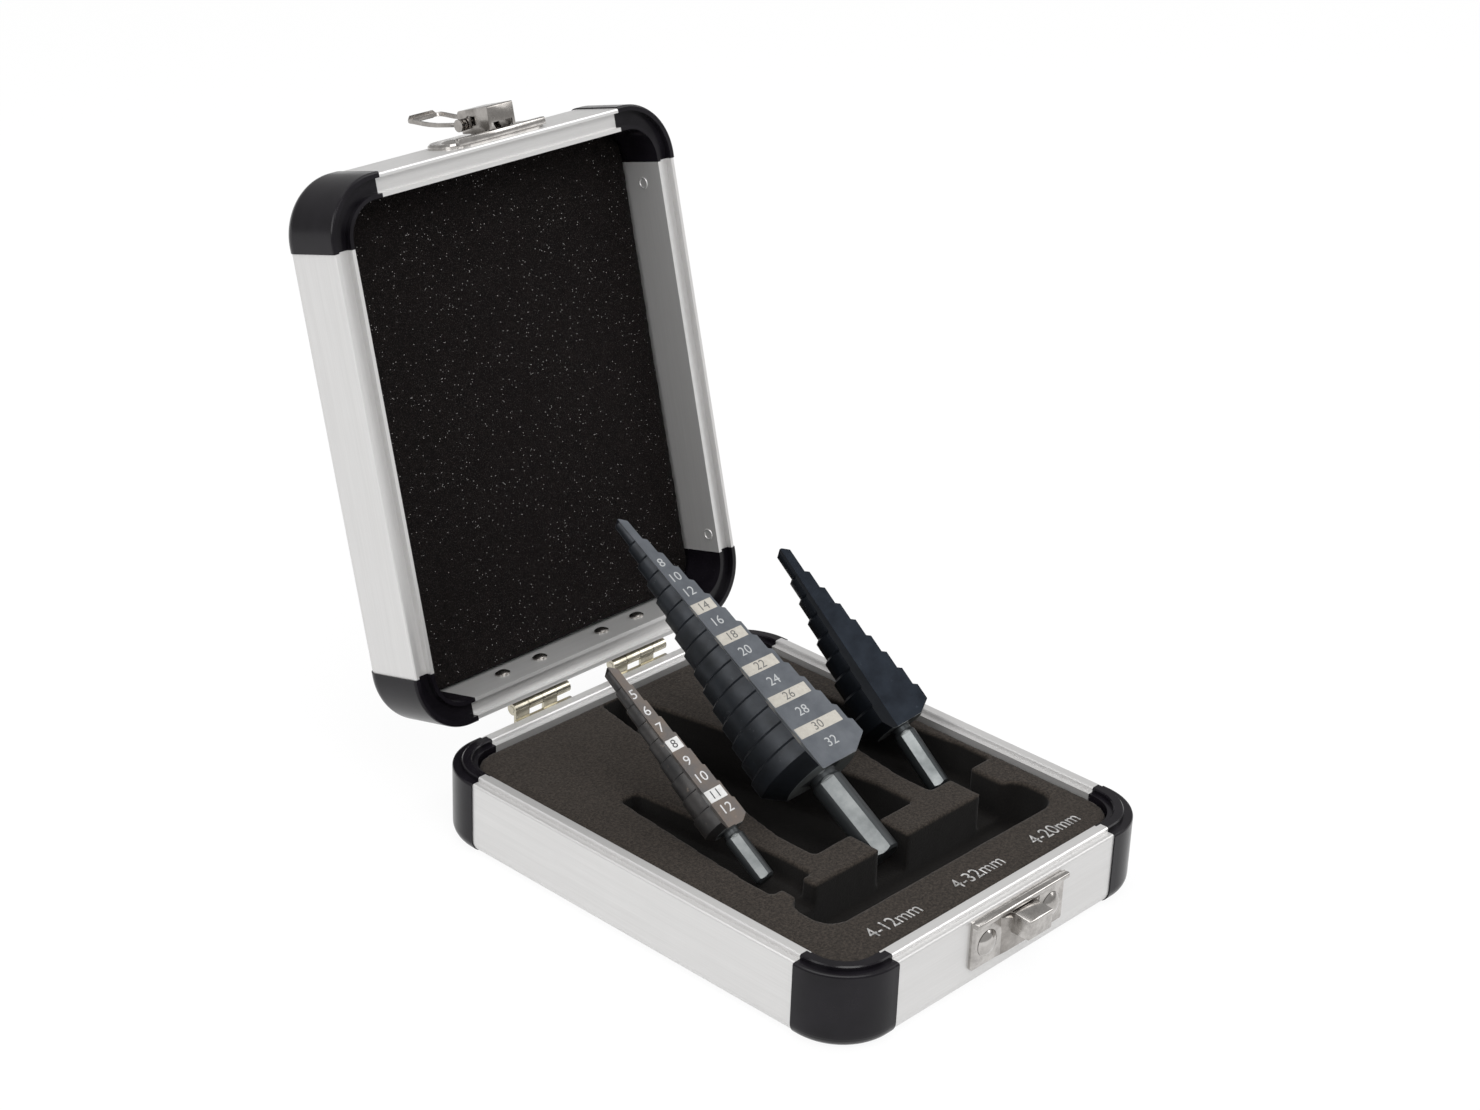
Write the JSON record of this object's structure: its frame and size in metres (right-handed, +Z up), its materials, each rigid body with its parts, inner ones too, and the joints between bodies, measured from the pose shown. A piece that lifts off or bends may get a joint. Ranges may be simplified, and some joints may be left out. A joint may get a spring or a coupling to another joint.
{
  "type": "drill bit case",
  "caption": "Hinged aluminium-framed case with black plastic corners, foam insert for step drills and a lever latch with a bail, lid standing open.",
  "frame": {"origin": "centre of the underside of the base, on the face that it stands on", "axes": "+Z up; +X along the hinge line, to the right seen from the latch; -Y towards the latch, +Y towards the hinges"},
  "size_m": [0.1146, 0.2149, 0.1681],
  "materials": {
    "aluminium_frame": "satin, brushed along the extrusion",
    "panel": "satin sheet",
    "corner_plastic": "satin black",
    "foam": "closed-cell foam, matte",
    "sponge": "open-cell sponge, matte with fine sparkle",
    "nickel": "bright nickel plate",
    "hinge_metal": "pale gold-nickel plate",
    "drill_steel": "blue-grey coated steel",
    "drill_steel_bronze": "bronze-brown coated steel"
  },
  "bodies": {
    "base": {"base_panel": "panel", "base_front_extrusion": "aluminium_frame", "base_rear_extrusion": "aluminium_frame", "base_left_extrusion": "aluminium_frame", "base_right_extrusion": "aluminium_frame", "base_corner_front_left": "corner_plastic", "base_corner_front_right": "corner_plastic", "base_corner_rear_left": "corner_plastic", "base_corner_rear_right": "corner_plastic", "foam_insert": "foam", "strike_plate": "nickel", "strike_rivets": "nickel", "hinge_left_base_leaf": "hinge_metal", "hinge_right_base_leaf": "hinge_metal", "hinge_left_pin": "hinge_metal", "hinge_right_pin": "hinge_metal", "hinge_rivets_base": "hinge_metal"},
    "lid": {"lid_panel": "panel", "lid_front_extrusion": "aluminium_frame", "lid_rear_extrusion": "aluminium_frame", "lid_left_extrusion": "aluminium_frame", "lid_right_extrusion": "aluminium_frame", "lid_corner_front_left": "corner_plastic", "lid_corner_front_right": "corner_plastic", "lid_corner_rear_left": "corner_plastic", "lid_corner_rear_right": "corner_plastic", "lid_sponge": "sponge", "latch_plate": "nickel", "latch_rivets": "nickel", "latch_pin": "nickel", "hinge_left_lid_leaf": "hinge_metal", "hinge_right_lid_leaf": "hinge_metal", "hinge_rivets_lid": "hinge_metal"},
    "lever": {"latch_lever": "nickel"},
    "bail": {"latch_bail": "nickel"},
    "small_drill": {"step_drill_small": "drill_steel_bronze"},
    "large_drill": {"step_drill_large": "drill_steel"},
    "medium_drill": {"step_drill_medium": "drill_steel"}
  },
  "joints": [
    {"name": "lid_hinge", "type": "hinge", "parent": "base", "child": "lid", "pos_m": [0, 0.072, 0.0224], "axis": [1, 0, 0], "range_deg": [0, 104.4]},
    {"name": "latch_lever_pivot", "type": "hinge", "parent": "lid", "child": "lever", "pos_m": [0.0025, 0.11737, 0.16169], "axis": [1, 0, 0], "range_deg": [-95, 0]},
    {"name": "latch_bail_pivot", "type": "hinge", "parent": "lid", "child": "bail", "pos_m": [0.0025, 0.11737, 0.16169], "axis": [1, 0, 0], "range_deg": [0, 177]},
    {"name": "large_drill_tilt", "type": "hinge", "parent": "base", "child": "large_drill", "pos_m": [0, -0.03425, 0.04484], "axis": [1, 0, 0], "range_deg": [-31.3, 0]},
    {"name": "medium_drill_tilt", "type": "hinge", "parent": "base", "child": "medium_drill", "pos_m": [0.037, -0.02226, 0.0443], "axis": [1, 0, 0], "range_deg": [-38.9, 0]},
    {"name": "small_drill_tilt", "type": "hinge", "parent": "base", "child": "small_drill", "pos_m": [-0.0316, -0.0283, 0.05001], "axis": [1, 0, 0], "range_deg": [-33, 0]}
  ],
  "couplings": [
    {"joint": "large_drill_tilt", "follows": "lid_hinge", "ratio": -0.2998},
    {"joint": "medium_drill_tilt", "follows": "lid_hinge", "ratio": -0.3726},
    {"joint": "small_drill_tilt", "follows": "lid_hinge", "ratio": -0.316}
  ]
}
